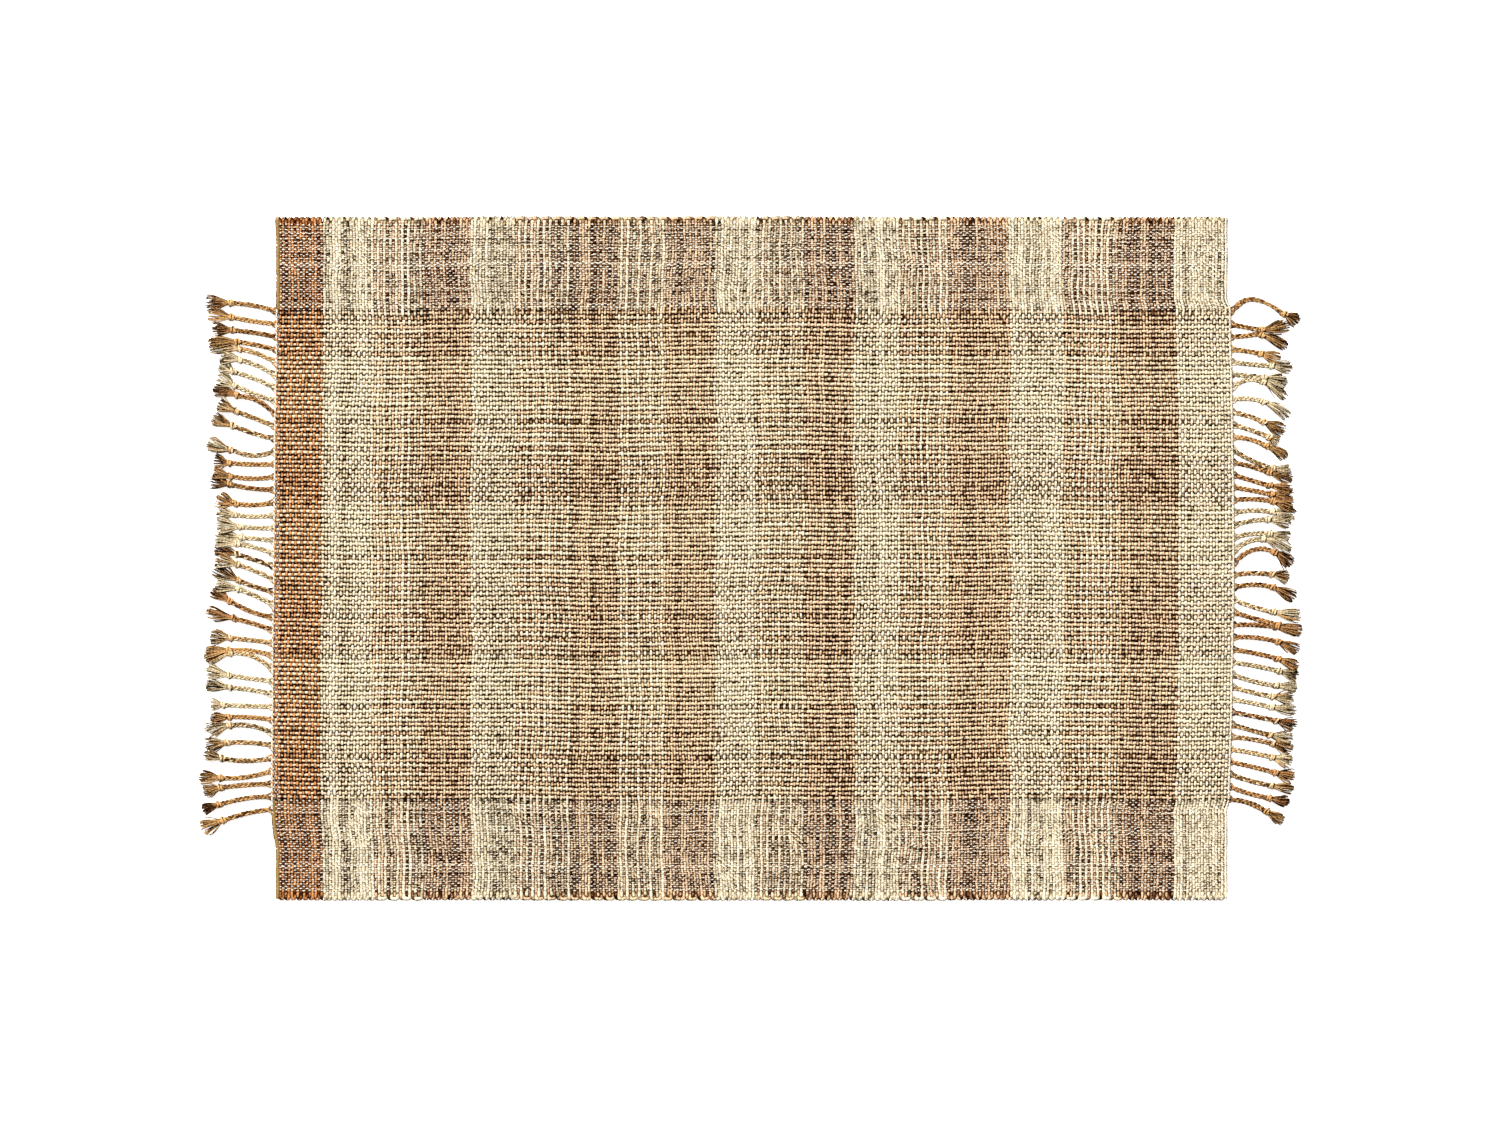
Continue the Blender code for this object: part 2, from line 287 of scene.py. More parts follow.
class Skein:
    """Gathers yarns as closed tubes and winds them into one mesh object."""

    def __init__(self):
        self.points, self.faces, self.caps = [], [], []
        self.along, self.strips, self.tones, self.lots, self.dyes = [], [], [], [], []
        self.rounds, self.cap_dyes = [], []
        self.count = 0
        self.total = 0

    def add(self, paths, width, thickness, dyes, tones, seed, sides=6, outward=None):
        """Add yarns along paths, an array of yarns x points x 3. Width and thickness may vary."""
        paths = np.asarray(paths, float)
        yarns, length = paths.shape[:2]
        tangent = np.gradient(paths, axis=1)
        tangent /= np.linalg.norm(tangent, axis=2, keepdims=True) + 1e-12
        if outward is None:
            outward = np.zeros_like(paths)
            outward[..., 2] = 1
        side = np.cross(tangent, outward)
        side /= np.linalg.norm(side, axis=2, keepdims=True) + 1e-12
        rise = np.cross(side, tangent)
        half_width = np.broadcast_to(np.asarray(width, float) / 2, (yarns, length))
        half_rise = np.broadcast_to(np.asarray(thickness, float) / 2, (yarns, length))
        angle = 2 * math.pi * np.arange(sides) / sides
        ring = (paths[:, :, None]
                + side[:, :, None] * (half_width[..., None] * np.cos(angle))[..., None]
                + rise[:, :, None] * (half_rise[..., None] * np.sin(angle))[..., None])
        index = self.count + np.arange(yarns * length * sides).reshape(yarns, length, sides)
        ahead = np.roll(index, -1, axis=2)
        quads = np.stack([index[:, :-1], index[:, 1:], ahead[:, 1:], ahead[:, :-1]], axis=-1)
        step = np.linalg.norm(np.diff(paths, axis=1), axis=2)
        reach = np.concatenate([np.zeros((yarns, 1)), np.cumsum(step, axis=1)], axis=1)
        turn = np.arange(sides) / sides
        shape = quads.shape[:3]
        start = np.broadcast_to(reach[:, :-1, None], shape)
        end = np.broadcast_to(reach[:, 1:, None], shape)
        low = np.broadcast_to(turn, shape)
        high = low + 1 / sides
        along = np.stack([np.stack([start, end, end, start], -1),
                          np.stack([low, low, high, high], -1)], -1)
        row = np.arange(self.total, self.total + yarns)
        self.points.append(ring.reshape(-1, 3))
        self.faces.append(quads.reshape(-1, 4))
        self.along.append(along.reshape(-1, 4, 2))
        self.strips.append(np.repeat(np.stack([row, reach[:, -1]], -1), shape[1] * sides, axis=0))
        self.caps.append((index[:, 0], index[:, -1, ::-1], row))
        chance = np.random.default_rng(seed)
        self.tones.append(np.repeat(tones, length * sides))
        self.rounds.append(np.tile(np.sin(angle), yarns * length))
        self.lots.append(np.repeat(chance.uniform(0, 40, yarns), length * sides))
        self.dyes.append(np.repeat(dyes, shape[1] * sides))
        self.cap_dyes.append(np.asarray(dyes))
        self.count += ring.size // 3
        self.total += yarns

    def wind(self, name, lay, heights, own=0.75):
        """Write the mesh. lay moves every point to its place. heights gives the heights of the hollows
        and the crowns there, between which the crown attribute goes from painted shade to painted
        highlight, and own is how much painted shade the sides of each round yarn get."""
        points = lay(np.concatenate(self.points))
        low, high = heights(points)
        quads = np.concatenate(self.faces)
        along = np.concatenate(self.along)
        strips = np.concatenate(self.strips)
        mesh = bpy.data.meshes.new(name)
        mesh.vertices.add(len(points))
        mesh.vertices.foreach_set("co", points.astype(np.float32).ravel())
        corners, starts, dyes, bake, yarn = [quads.ravel()], [np.arange(len(quads)) * 4], [], [], []
        row = (strips[:, None, 0] + 0.06 + 0.88 * along[..., 1]) / self.total
        bake.append(np.stack([along[..., 0] / strips[:, None, 1], row], -1).reshape(-1, 2))
        yarn.append(along.reshape(-1, 2))
        dyes.append(np.concatenate(self.dyes))
        used = quads.size
        for (first, last, rows), dye in zip(self.caps, self.cap_dyes):
            for cap, end in ((first, 0.0), (last, 1.0)):
                corners.append(cap.ravel())
                starts.append(used + np.arange(len(cap)) * cap.shape[1])
                spot = np.repeat((rows + 0.5) / self.total, cap.shape[1])
                spread = np.tile(np.linspace(0, 0.004, cap.shape[1]), len(cap))
                bake.append(np.stack([end + spread * (1 - 2 * end), spot + spread], -1))
                yarn.append(np.stack([spread, spread], -1))
                dyes.append(dye)
                used += cap.size
        corners = np.concatenate(corners)
        mesh.loops.add(len(corners))
        mesh.loops.foreach_set("vertex_index", corners.astype(np.int32))
        starts = np.concatenate(starts)
        mesh.polygons.add(len(starts))
        mesh.polygons.foreach_set("loop_start", starts.astype(np.int32))
        used_dyes = np.unique(np.concatenate(dyes))
        for dye in used_dyes:
            mesh.materials.append(YARNS[DYES[dye]])
        place = np.searchsorted(used_dyes, np.concatenate(dyes))
        mesh.polygons.foreach_set("material_index", place.astype(np.int32))
        for title, values in (("OFBake", bake), ("yarn", yarn)):
            layer = mesh.uv_layers.new(name=title)
            layer.uv.foreach_set("vector", np.concatenate(values).astype(np.float32).ravel())
        # The crown attribute is painted light: 0 paints shade in the hollows and on each tube's sides,
        # 1 paints a highlight on its top. The underside gets the same, mirrored about CLOTH_MIDDLE.
        rounds = np.concatenate(self.rounds)
        height = np.where(rounds < -0.01, 2 * CLOTH_MIDDLE - points[:, 2], points[:, 2])
        crown = np.clip((height - low) / (high - low), 0, 1)
        crown = crown * (1 - own + own * np.abs(rounds))
        for title, values in (("tone", np.concatenate(self.tones)),
                              ("lot", np.concatenate(self.lots)), ("crown", crown)):
            attribute = mesh.attributes.new(title, "FLOAT", "POINT")
            attribute.data.foreach_set("value", values.astype(np.float32))
        mesh.update()
        mesh.shade_smooth()
        piece = bpy.data.objects.new(name, mesh)
        bpy.context.scene.collection.objects.link(piece)
        return piece


# %% [markdown]
# ## Nothing handwoven is straight
#
# The weave is first worked out on a perfect grid. One function then lays it down as real cloth:
# the stripes wander a millimetre or two as the beating was uneven, and the ends of the field
# stand a few millimetres past the ends of the side bands, because cotton takes up more than
# jute does. Moving every point through the same function keeps the yarns interlaced.

# %% How the finished cloth lies
STANDS_OUT_Y = [-0.27, 0.0, 0.277]   # near corner, middle and far corner of the field
LEFT_STANDS_OUT = [5.7 * MM, 3.6 * MM, 0.2 * MM]
RIGHT_STANDS_OUT = [3.5 * MM, 9.0 * MM, 4.6 * MM]


def ease(value, start, end):
    """Go smoothly from 0 at start to 1 at end."""
    t = np.clip((value - start) / (end - start), 0, 1)
    return t * t * (3 - 2 * t)


def lay_cloth(points):
    """Move points of the perfect weave to where the real cloth puts them."""
    x, y = points[:, 0], points[:, 1]
    far = 1 - ease(y, FIELD_HIGH[1] + 2 * MM, FIELD_HIGH[1] + 14 * MM)
    near_left = ease(y, FIELD_LOW[1] - 62 * MM, FIELD_LOW[1] - 16 * MM)
    near_right = ease(y, FIELD_LOW[1] - 14 * MM, FIELD_LOW[1])
    shift = np.where(x < 0, -np.interp(y, STANDS_OUT_Y, LEFT_STANDS_OUT) * near_left,
                     np.interp(y, STANDS_OUT_Y, RIGHT_STANDS_OUT) * near_right)
    stretch = np.clip(np.abs(x) / BAND_END, 0, 1) ** 4
    out = points.copy()
    out[:, 0] += shift * far * stretch
    calm = MM * (1 - 0.75 * stretch)
    out[:, 0] += calm * (1.1 * np.sin(23 * y + 9 * x) + 0.6 * np.sin(51 * y - 17 * x + 1)
                         + 0.4 * np.sin(97 * y + 31 * x + 2))
    loose = MM * (1 - 0.8 * ease(np.abs(y), FAR_EDGE - 40 * MM, FAR_EDGE))
    out[:, 1] += loose * (0.9 * np.sin(8 * x + 5 * y) + 0.6 * np.sin(21 * x + 1.3)
                          + 0.35 * np.sin(47 * x - 6 * y))
    out[:, 2] = np.maximum(out[:, 2], 0.2 * MM)
    return out


# %% [markdown]
# ## Places of the cotton threads
#
# The cotton warp stops short of the long edges, where only the turned weft is left. Its threads
# are spaced by hand, so some lie in close pairs and a few are doubled, which shows as brighter
# broken lines along the side bands.

# %% Space the cotton threads
def space_threads(start, end, seed):
    """Places of the cotton threads from start to end, with a hand's unevenness."""
    chance = np.random.default_rng(seed)
    count = round((end - start) / COTTON_PITCH)
    places = start + (np.arange(count) + 0.5) * (end - start) / count
    places += chance.uniform(-0.35, 0.35, count) * MM
    for k in np.flatnonzero(chance.random(count - 1) < 0.22):
        places[k:k + 2] += [0.45 * MM, -0.45 * MM]
    return places


FAR_THREADS = space_threads(FIELD_HIGH[1] + 0.1 * MM, FAR_COTTON + 3 * MM, 11)
NEAR_THREADS = space_threads(NEAR_COTTON - 1 * MM, FIELD_LOW[1] - 0.1 * MM, 12)
print(len(FAR_THREADS), "cotton threads at the far side,", len(NEAR_THREADS), "at the near side")

# %% [markdown]
# ## The path of a weft yarn
#
# All the weft yarns share one list of places across the rug: each crossing with a warp yarn and
# each gap between two. A yarn rises over every second warp and dives under the others, and its
# neighbour does the opposite, which is plain weave. Over the thin cotton it hardly moves. At the
# long edges it turns back beside its neighbour, so half a loop is added at each end.

# %% Work out the shared places across
FIELD_MIDDLE = 3.5 * MM             # height of the weave's middle plane in the field
BAND_MIDDLE = 2.5 * MM              # and in the thinner side bands
WEFT_RISE = 1.9 * MM
WARP_RISE = 1.1 * MM
SELVEDGE_REACH = 1.2 * MM           # how far a turned weft loop reaches past its last crossing

half_steps = np.arange(2 * WARP_YARNS + 1)
field_y = FIELD_LOW[1] + half_steps * WARP_PITCH / 2
field_wave = -np.cos(math.pi * (field_y - WARP_Y[-1]) / WARP_PITCH)
from_edge = np.minimum(half_steps, 2 * WARP_YARNS - half_steps)
field_wave *= np.interp(from_edge, [0, 1, 2], [0.2, 0.6, 1.0])
near_y = np.concatenate([[NEAR_EDGE + SELVEDGE_REACH, NEAR_COTTON - 3 * MM], NEAR_THREADS])
far_y = np.concatenate([FAR_THREADS, [FAR_COTTON + 5 * MM, FAR_EDGE - SELVEDGE_REACH]])
ACROSS = np.concatenate([near_y, field_y, far_y])
near_wave = 0.22 * (-1.0) ** np.arange(len(near_y))
far_wave = 0.22 * (-1.0) ** np.arange(len(far_y))
WAVE = np.concatenate([near_wave, field_wave, far_wave])
IN_FIELD = (ease(ACROSS, FIELD_LOW[1] - 4 * MM, FIELD_LOW[1] + 4 * MM)
            * (1 - ease(ACROSS, FIELD_HIGH[1] - 4 * MM, FIELD_HIGH[1] + 4 * MM)))
MIDDLE = BAND_MIDDLE + (FIELD_MIDDLE - BAND_MIDDLE) * IN_FIELD
print(len(ACROSS), "places along each weft yarn")

# %% [markdown]
# The half loops need to know which neighbour a yarn turns to. In a plain stripe it is the next
# yarn. In a stripe of two alternating colours the shuttle of each colour skips one, so its loop
# is twice as wide and crosses the other's.

# %% Lay out the weft yarns
pick_x, pick_pitch, pick_dye, pick_stripe, skips = [], [], [], [], []
left_end = -BAND_END
for number, (stripe_width, yarns, first, second) in enumerate(WEFT_STRIPES):
    scale = 2 * BAND_END / (MM * sum(stripe[0] for stripe in WEFT_STRIPES))
    pitch = stripe_width * MM * scale / yarns
    pick_x += list(left_end + (np.arange(yarns) + 0.5) * pitch)
    pick_pitch += [pitch] * yarns
    pick_dye += [DYES.index(first if k % 2 == 0 else second) for k in range(yarns)]
    pick_stripe += [number] * yarns
    skips += [2 if first != second else 1] * yarns
    left_end += stripe_width * MM * scale
pick_x, pick_pitch, pick_dye = np.array(pick_x), np.array(pick_pitch), np.array(pick_dye)
pick_stripe, skips = np.array(pick_stripe), np.array(skips)
PICKS = len(pick_x)
print(PICKS, "weft yarns,", f"{pick_pitch.min() / MM:.2f} to {pick_pitch.max() / MM:.2f} mm apart")


# %% Turn the weft at the long edges
def turn_towards(shift):
    """Sideways way from each yarn to the middle of its loop, with the loops paired from shift."""
    ways = np.zeros(PICKS)
    taken = np.zeros(PICKS, bool)
    for k in range(shift, PICKS):
        other = k + skips[k]
        if taken[k] or other >= PICKS or taken[other]:
            continue
        half = (pick_x[other] - pick_x[k]) / 2
        ways[k], ways[other] = half, -half
        taken[k] = taken[other] = True
    return ways


FAR_TURN = turn_towards(0)
NEAR_TURN = turn_towards(1)


def shaken(chance, count, length, amount):
    """A hand's unevenness: a new offset at every second point, halfway between at the others."""
    offsets = chance.normal(0, amount, (count, length // 2 + 2))
    steps = np.arange(length) / 2
    whole = np.floor(steps).astype(int)
    return offsets[:, whole] + (offsets[:, whole + 1] - offsets[:, whole]) * (steps - whole)


def weft_paths(picks, seed):
    """Paths of these weft yarns from the near edge to the far edge, loops included."""
    chance = np.random.default_rng(seed)
    count = len(picks)
    sign = np.where(picks % 2 == 0, 1.0, -1.0)[:, None]
    drift = np.zeros((count, len(ACROSS)))
    for wave_length in (0.31, 0.11, 0.043):
        phase = chance.uniform(0, 2 * math.pi) + 0.35 * np.arange(count)[:, None]
        drift += chance.uniform(0.15, 0.42) * MM * np.sin(2 * math.pi * ACROSS / wave_length + phase)
    x = pick_x[picks][:, None] + drift + shaken(chance, count, len(ACROSS), 0.2 * MM)
    y = np.broadcast_to(ACROSS, x.shape)
    z = MIDDLE + sign * WAVE * WEFT_RISE + chance.uniform(-0.25, 0.25, (count, 1)) * MM * IN_FIELD
    z = z + shaken(chance, count, len(ACROSS), 0.26 * MM) * IN_FIELD
    quarter = np.linspace(0, math.pi / 2, 5)[1:]
    loops = []
    for ways, edge, outwards in ((NEAR_TURN, 0, -1), (FAR_TURN, -1, 1)):
        way = ways[picks][:, None]
        loop_x = x[:, edge, None] + way * (1 - np.cos(quarter))
        reach = SELVEDGE_REACH * chance.uniform(0.65, 1.0, (count, 1))
        loop_y = y[:, edge, None] + outwards * reach * np.sin(quarter)
        over = np.where((np.abs(way) > 2.6 * MM) & (sign > 0), 1.0 * MM, 0.0)
        loop_z = z[:, edge, None] + over * np.sin(quarter) + 0 * loop_x
        loops.append(np.stack([loop_x, loop_y, loop_z], -1))
    body = np.stack([x, y, z], -1)
    return np.concatenate([loops[0][:, ::-1], body, loops[1]], axis=1)


# %% [markdown]
# ## Weaving the stripes
#
# Each weft stripe becomes one piece, as wide as the stripe and as long as the rug is wide. Hand
# spinning gives thick and thin places, so each yarn's width changes by a tenth or so along it.

# %% Weave the weft stripes
def uneven(count, length, seed, amount):
    """Slowly changing factors near 1, one row per yarn."""
    chance = np.random.default_rng(seed)
    steps = np.arange(length)
    factor = np.ones((count, length))
    for wave_length in (61, 23, 9):
        phase = chance.uniform(0, 2 * math.pi, (count, 1))
        factor += amount * chance.uniform(0.3, 1, (count, 1)) * np.sin(
            2 * math.pi * steps / wave_length + phase)
    return factor


def weft_heights(points):
    """Heights between which the weft goes from painted shade in its hollows to a painted highlight on
    its crowns: the side bands are thinner than the field, and near the long edges less of the weft
    gets painted shade.
    """
    inside = (ease(points[:, 1], FIELD_LOW[1] - 4 * MM, FIELD_LOW[1] + 4 * MM)
              * (1 - ease(points[:, 1], FIELD_HIGH[1] - 4 * MM, FIELD_HIGH[1] + 4 * MM)))
    edge = ease(np.abs(points[:, 1]), FAR_EDGE - 10 * MM, FAR_EDGE - 6 * MM)
    return (1.9 + 0.7 * inside - 0.6 * edge) * MM, (4.65 + 1.55 * inside) * MM


# AT_EDGE is 1 at the outermost points of a weft yarn, where it turns back and bunches up.
# FULLNESS widens or narrows the yarns of each colour. The numbers were chosen.
AT_EDGE = np.pad(np.pad(np.zeros(len(ACROSS) - 4), 2, constant_values=1), 4, mode="edge")
FULLNESS = {"rust": 0.95, "brown": 0.93, "tan": 0.96, "cream": 1.1, "warp_tan": 0.96,
            "warp_cream": 1.06}
WOVEN_NODES = ("woven_field", "far_side_band", "near_side_band", "far_selvedge", "near_selvedge")
for number, (stripe_width, yarns, first, second) in enumerate(WEFT_STRIPES):
    picks = np.flatnonzero(pick_stripe == number)
    paths = weft_paths(picks, 100 + number)
    slub = uneven(yarns, paths.shape[1], 200 + number, 0.035)
    in_field = np.pad(IN_FIELD, 4, mode="edge")
    full = np.array([FULLNESS[DYES[dye]] for dye in pick_dye[picks]])[:, None]
    crest = np.where(picks % 2 == 0, 1.0, -1.0)[:, None] * np.pad(WAVE, 4, mode="edge") * in_field
    share = 1.1 - 0.24 * in_field + 0.18 * crest + 0.14 * AT_EDGE
    widths = pick_pitch[picks][:, None] * share * slub * full
    heights = (2.35 + 0.2 * in_field) * MM * slub
    tones = np.random.default_rng(300 + number).uniform(-1, 1, yarns)
    skein = Skein()
    skein.add(paths, widths, heights, pick_dye[picks], tones, 400 + number)
    piece = skein.wind(f"weft_stripe_{number + 1:02d}", lay_cloth, weft_heights)
    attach(piece, "rug")
    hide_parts(*WOVEN_NODES)

# %% [markdown]
# ## The jute warp
#
# The warp was held tight on the loom, so it crimps less than the weft does. It is thicker and
# lies further apart, which leaves the small dark holes between the crossings. Each warp stripe
# is one piece as long as the field.

# %% Lay the warp stripes
def warp_paths(places, parity, rise, middle, end, seed, wander=0.3):
    """Paths of warp yarns along the rug, going under and over every weft yarn."""
    chance = np.random.default_rng(seed)
    crossings = pick_x
    gaps = (pick_x[:-1] + pick_x[1:]) / 2
    x = np.sort(np.concatenate([crossings, gaps]))
    heights = np.zeros(len(x))
    heights[0::2] = np.where(np.arange(PICKS) % 2 == 0, -1.0, 1.0)
    x = np.concatenate([[-end], x, [end]])
    heights = np.concatenate([[0], heights, [0]])
    count = len(places)
    drift = np.zeros((count, len(x)))
    for wave_length in (0.37, 0.14, 0.051):
        phase = chance.uniform(0, 2 * math.pi, (count, 1))
        drift += chance.uniform(0.2, 1, (count, 1)) * wander * MM * np.sin(
            2 * math.pi * x / wave_length + phase)
    y = places[:, None] + drift + shaken(chance, count, len(x), 0.8 * wander * MM)
    lift = chance.uniform(-1, 1, (count, 1)) + shaken(chance, count, len(x), 0.6)
    z = middle + parity[:, None] * heights * rise + wander * lift * MM
    return np.stack([np.broadcast_to(x, y.shape), y, z], -1)


WARP_WIDTH = 3.7 * MM
WARP_THICKNESS = 3.1 * MM
WARP_END = BAND_END - 0.4 * MM
warp_pieces = []
first_yarn = 0
for number, (yarns, first, second) in enumerate(WARP_STRIPES):
    rows = np.arange(first_yarn, first_yarn + yarns)
    first_yarn += yarns
    parity = np.where((WARP_YARNS - 1 - rows) % 2 == 0, -1.0, 1.0)
    paths = warp_paths(WARP_Y[rows], parity, WARP_RISE, FIELD_MIDDLE, WARP_END, 500 + number)
    slub = uneven(yarns, paths.shape[1], 520 + number, 0.06)
    tones = np.random.default_rng(540 + number).uniform(-1, 1, yarns)
    names = [first if k % 2 == 0 else second for k in range(yarns)]
    full = np.array([FULLNESS[name] for name in names])[:, None]
    dyes = [DYES.index(name) for name in names]
    skein = Skein()
    skein.add(paths, WARP_WIDTH * slub * full, WARP_THICKNESS * slub, dyes, tones, 560 + number)
    piece = skein.wind(f"warp_stripe_{number + 1:02d}", lay_cloth, lambda points: (2.6 * MM, 6.0 * MM))
    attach(piece, "rug")
    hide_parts("woven_field")
    warp_pieces.append(piece)
print(len(warp_pieces), "warp stripes,", len(piece.data.polygons), "faces in the last one")

# %% [markdown]
# ## The cotton warp of the side bands
#
# The cotton threads are under 1 mm thick and lie wide apart, so the weft covers them except
# where they pass over it. What is seen is rows of short white dashes. Here the weft hardly bends
# and the cotton does all the crossing over.

# %% Lay the cotton threads
COTTON_THICKNESS = 1.05 * MM
COTTON_RISE = 1.5 * MM
cotton_pieces = []
for side, threads, node in (("far", FAR_THREADS, "far_side_band"),
                            ("near", NEAR_THREADS, "near_side_band")):
    halves = np.array_split(np.arange(len(threads)), 2)
    for part, rows in enumerate(halves):
        seed = 600 + 10 * part + len(side)
        parity = np.where(rows % 2 == 0, 1.0, -1.0)
        paths = warp_paths(threads[rows], parity, COTTON_RISE, BAND_MIDDLE, BAND_END + 0.5 * MM,
                           seed, wander=0.35)
        chance = np.random.default_rng(seed + 1)
        doubled = np.where(chance.random(len(rows)) < 0.12, 1.45, 1.0)[:, None]
        slub = uneven(len(rows), paths.shape[1], seed + 2, 0.06) * doubled
        tones = chance.uniform(-1, 1, len(rows))
        skein = Skein()
        skein.add(paths, COTTON_THICKNESS * slub * 1.35, COTTON_THICKNESS * 0.85,
                  [DYES.index("white")] * len(rows), tones, seed + 3, sides=4)
        piece = skein.wind(f"{side}_cotton_warp_{part + 1}", lay_cloth,
                           lambda points: (1.5 * MM, 3.9 * MM), own=0.3)
        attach(piece, "rug")
        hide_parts(node)
        cotton_pieces.append(piece)
print(len(cotton_pieces), "cotton pieces,", len(piece.data.polygons), "faces in the last one")

# %% [markdown]
# ## Cords that hold the ends
#
# Two white cotton plies are twined round the warp at each end of the field, one over and one
# under in turn, so the weft can't slide off. At the ends of the side bands the last weft is a
# thicker cord: olive at the left, and thin and pale at the right.

# %% Twine the end cords
def twined_cord(name, node, sign):
    """Two plies twisted about each other along Y, standing for the CAD's end cord."""
    low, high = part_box(node)
    x = sign * (BAND_END - 0.9 * MM)
    y = np.arange(low.y - (12 * MM if sign < 0 else 0), high.y + 1 * MM, 1.1 * MM)
    paths = []
    for start in (0, math.pi):
        angle = 2 * math.pi * y / (2 * WARP_PITCH) + start
        ply_x = x + 0.5 * MM * np.cos(angle)
        ply_z = FIELD_MIDDLE + 0.9 * MM + 1.5 * MM * np.sin(angle)
        paths.append(np.stack([ply_x, y, ply_z], -1))
    skein = Skein()
    dyes = [DYES.index("white")] * 2
    skein.add(np.array(paths), 1.7 * MM, 1.5 * MM, dyes, [0.2, -0.2], 700 + sign)
    piece = skein.wind(name, lay_cloth, lambda points: (1 * MM, 5 * MM))
    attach(piece, "rug")
    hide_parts(node)
    return piece


cord_pieces = [
    twined_cord("twined_cord_left", "left_end_cord", -1),
    twined_cord("twined_cord_right", "right_end_cord", 1),
]


# %% Lay the cords at the ends of the side bands
def edge_cord(name, node, width, thickness, dye, seed):
    """The thick last weft at the end of a side band."""
    low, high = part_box(node)
    sign = math.copysign(1, low.x)
    y = np.arange(low.y, high.y, 2 * MM)
    x = sign * (BAND_END - width / 2) + 0.2 * MM * np.sin(y / (6 * MM))
    z = np.full(len(y), BAND_MIDDLE + 0.5 * MM) + 0.2 * MM * np.sin(y / (3 * MM))
    skein = Skein()
    skein.add([np.stack([x, y, z], -1)], width, thickness, [DYES.index(dye)], [0], seed, sides=8)
    piece = skein.wind(name, lay_cloth, lambda points: (1 * MM, 4 * MM))
    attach(piece, "rug")
    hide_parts(node)
    return piece


cord_pieces += [
    edge_cord("edge_cord_far_left", "far_left_edge_cord", 4.4 * MM, 3.6 * MM, "olive", 711),
    edge_cord("edge_cord_near_left", "near_left_edge_cord", 4.4 * MM, 3.6 * MM, "olive", 712),
    edge_cord("edge_cord_far_right", "far_right_edge_cord", 2.4 * MM, 2.8 * MM, "white", 713),
    edge_cord("edge_cord_near_right", "near_right_edge_cord", 2.4 * MM, 2.8 * MM, "white", 714),
]
print(len(cord_pieces), "cords")

# %% [markdown]
# ## The fringe
#
# Past the end cord the warp is gathered in threes and braided for about 45 mm, then tied in a
# knot, and the ends are left to fray. The braids were made by hand one by one, so each knot sits
# at its own distance and each tail falls its own way. The lists below are those distances in
# millimetres, from the far side to the near side: how far the knot and the tip are from the
# root, and how far each has moved towards the far side.
#
# A braid of three strands has a neat formula. Each strand swings from side to side as a sine,
# and up and down at twice that pace, a third of a turn behind the next one.

# %% The lists for the two ends
LEFT_KNOTS = [51, 50, 48, 43, 41, 40, 47, 45, 43, 43, 46, 49, 50, 49, 49, 43, 44, 37, 35, 40,
              40, 40, 39, 39, 48, 43, 47, 48, 47, 48, 47, 54, 48, 47, 50, 55, 57, 57, 59, 55]
LEFT_TIPS = [80, 77, 72, 76, 75, 64, 64, 65, 70, 64, 70, 75, 68, 69, 72, 66, 64, 65, 66, 66,
             66, 65, 67, 65, 69, 75, 70, 75, 75, 74, 75, 69, 69, 74, 75, 76, 81, 77, 78, 81]
LEFT_KNOT_LEANS = [9, 7, 7, 8, 14, 16, 17, 15, 19, 15, 13, 1, 1, 0, 5, -2, 0, 1, 3, 10,
                   12, 15, 11, 16, 16, 12, 5, 6, 17, 6, 7, 2, 3, 8, 3, -1, -8, -4, -8, -11]
LEFT_TIP_LEANS = [8, 12, 9, 8, 16, 20, 24, 26, 28, 25, 24, 11, 3, 5, 11, 5, 4, 3, 4, 12,
                  21, 22, 28, 21, 31, 20, 7, 3, 7, 12, 11, 2, 0, -1, -1, 6, -6, -9, -15, -22]
RIGHT_KNOTS = [60, 35, 35, 33, 45, 36, 35, 35, 34, 40, 38, 45, 40, 40, 42, 44, 44, 38, 40, 33,
               45, 42, 44, 45, 50, 48, 50, 50, 52, 50, 45, 45, 50, 43, 48, 47, 50, 47, 45, 45]
RIGHT_TIPS = [76, 66, 63, 55, 68, 62, 60, 64, 58, 51, 60, 64, 66, 66, 67, 66, 70, 64, 63, 63,
              64, 62, 69, 76, 77, 77, 74, 74, 74, 73, 69, 72, 73, 69, 69, 69, 72, 72, 68, 64]
RIGHT_KNOT_LEANS = [-1, -6, 3, -4, -4, -3, 7, -1, -9, -12, -8, -20, -10, -11, -7, -1, 1, 6, 4, 12,
                    13, 1, 1, -13, -13, -2, -4, -9, -9, -12, -10, -8, -9, -11, -7, -8, -11, -12,
                    -12, -12]
RIGHT_TIP_LEANS = [-12, 0, -13, -11, -6, -9, -13, -20, -23, -20, -23, -22, -19, -16, -11, -9, -4,
                   2, 1, -2, -4, -3, -13, -18, -22, -8, -15, -20, -17, -13, -13, -13, -16, -16,
                   -16, -15, -18, -16, -17, -25]

# %% [markdown]
# Two letters give each braid's yarns: the first is the colour of two strands, the second of the
# third strand. T is tan, C cream, B brown and R rust.

# %% The colours of the braids
LEFT_YARNS = ("TT TT BT TT TC CC CC CC BT TC TC CB TB TB TB TB CC CC CC CC "
              "BC CT BC CC BB BB TC TT CT CC CC CC BT CT TC TC TT TT TT TT").split()
RIGHT_YARNS = ("TT TT TT TT CC CC CC CC TC CT TT CB TT BT BB BB CC CC CC CC "
               "BB BC BT CT BB BB BB BB CC CC CT CC RC TC BC CT BB TC BB TT").split()
LETTERS = {"T": "tan_braid", "C": "cream_braid", "B": "brown_braid", "R": "rust"}

# %% [markdown]
# The strands start a few millimetres apart, as they leave the cloth, and draw together in the
# first 6 mm. The knot is the same yarn wound round the braid, and the tail is a fan of single
# plies of different lengths. Neighbouring tails lie on one another, so every second one is
# lifted by the thickness of a tail.

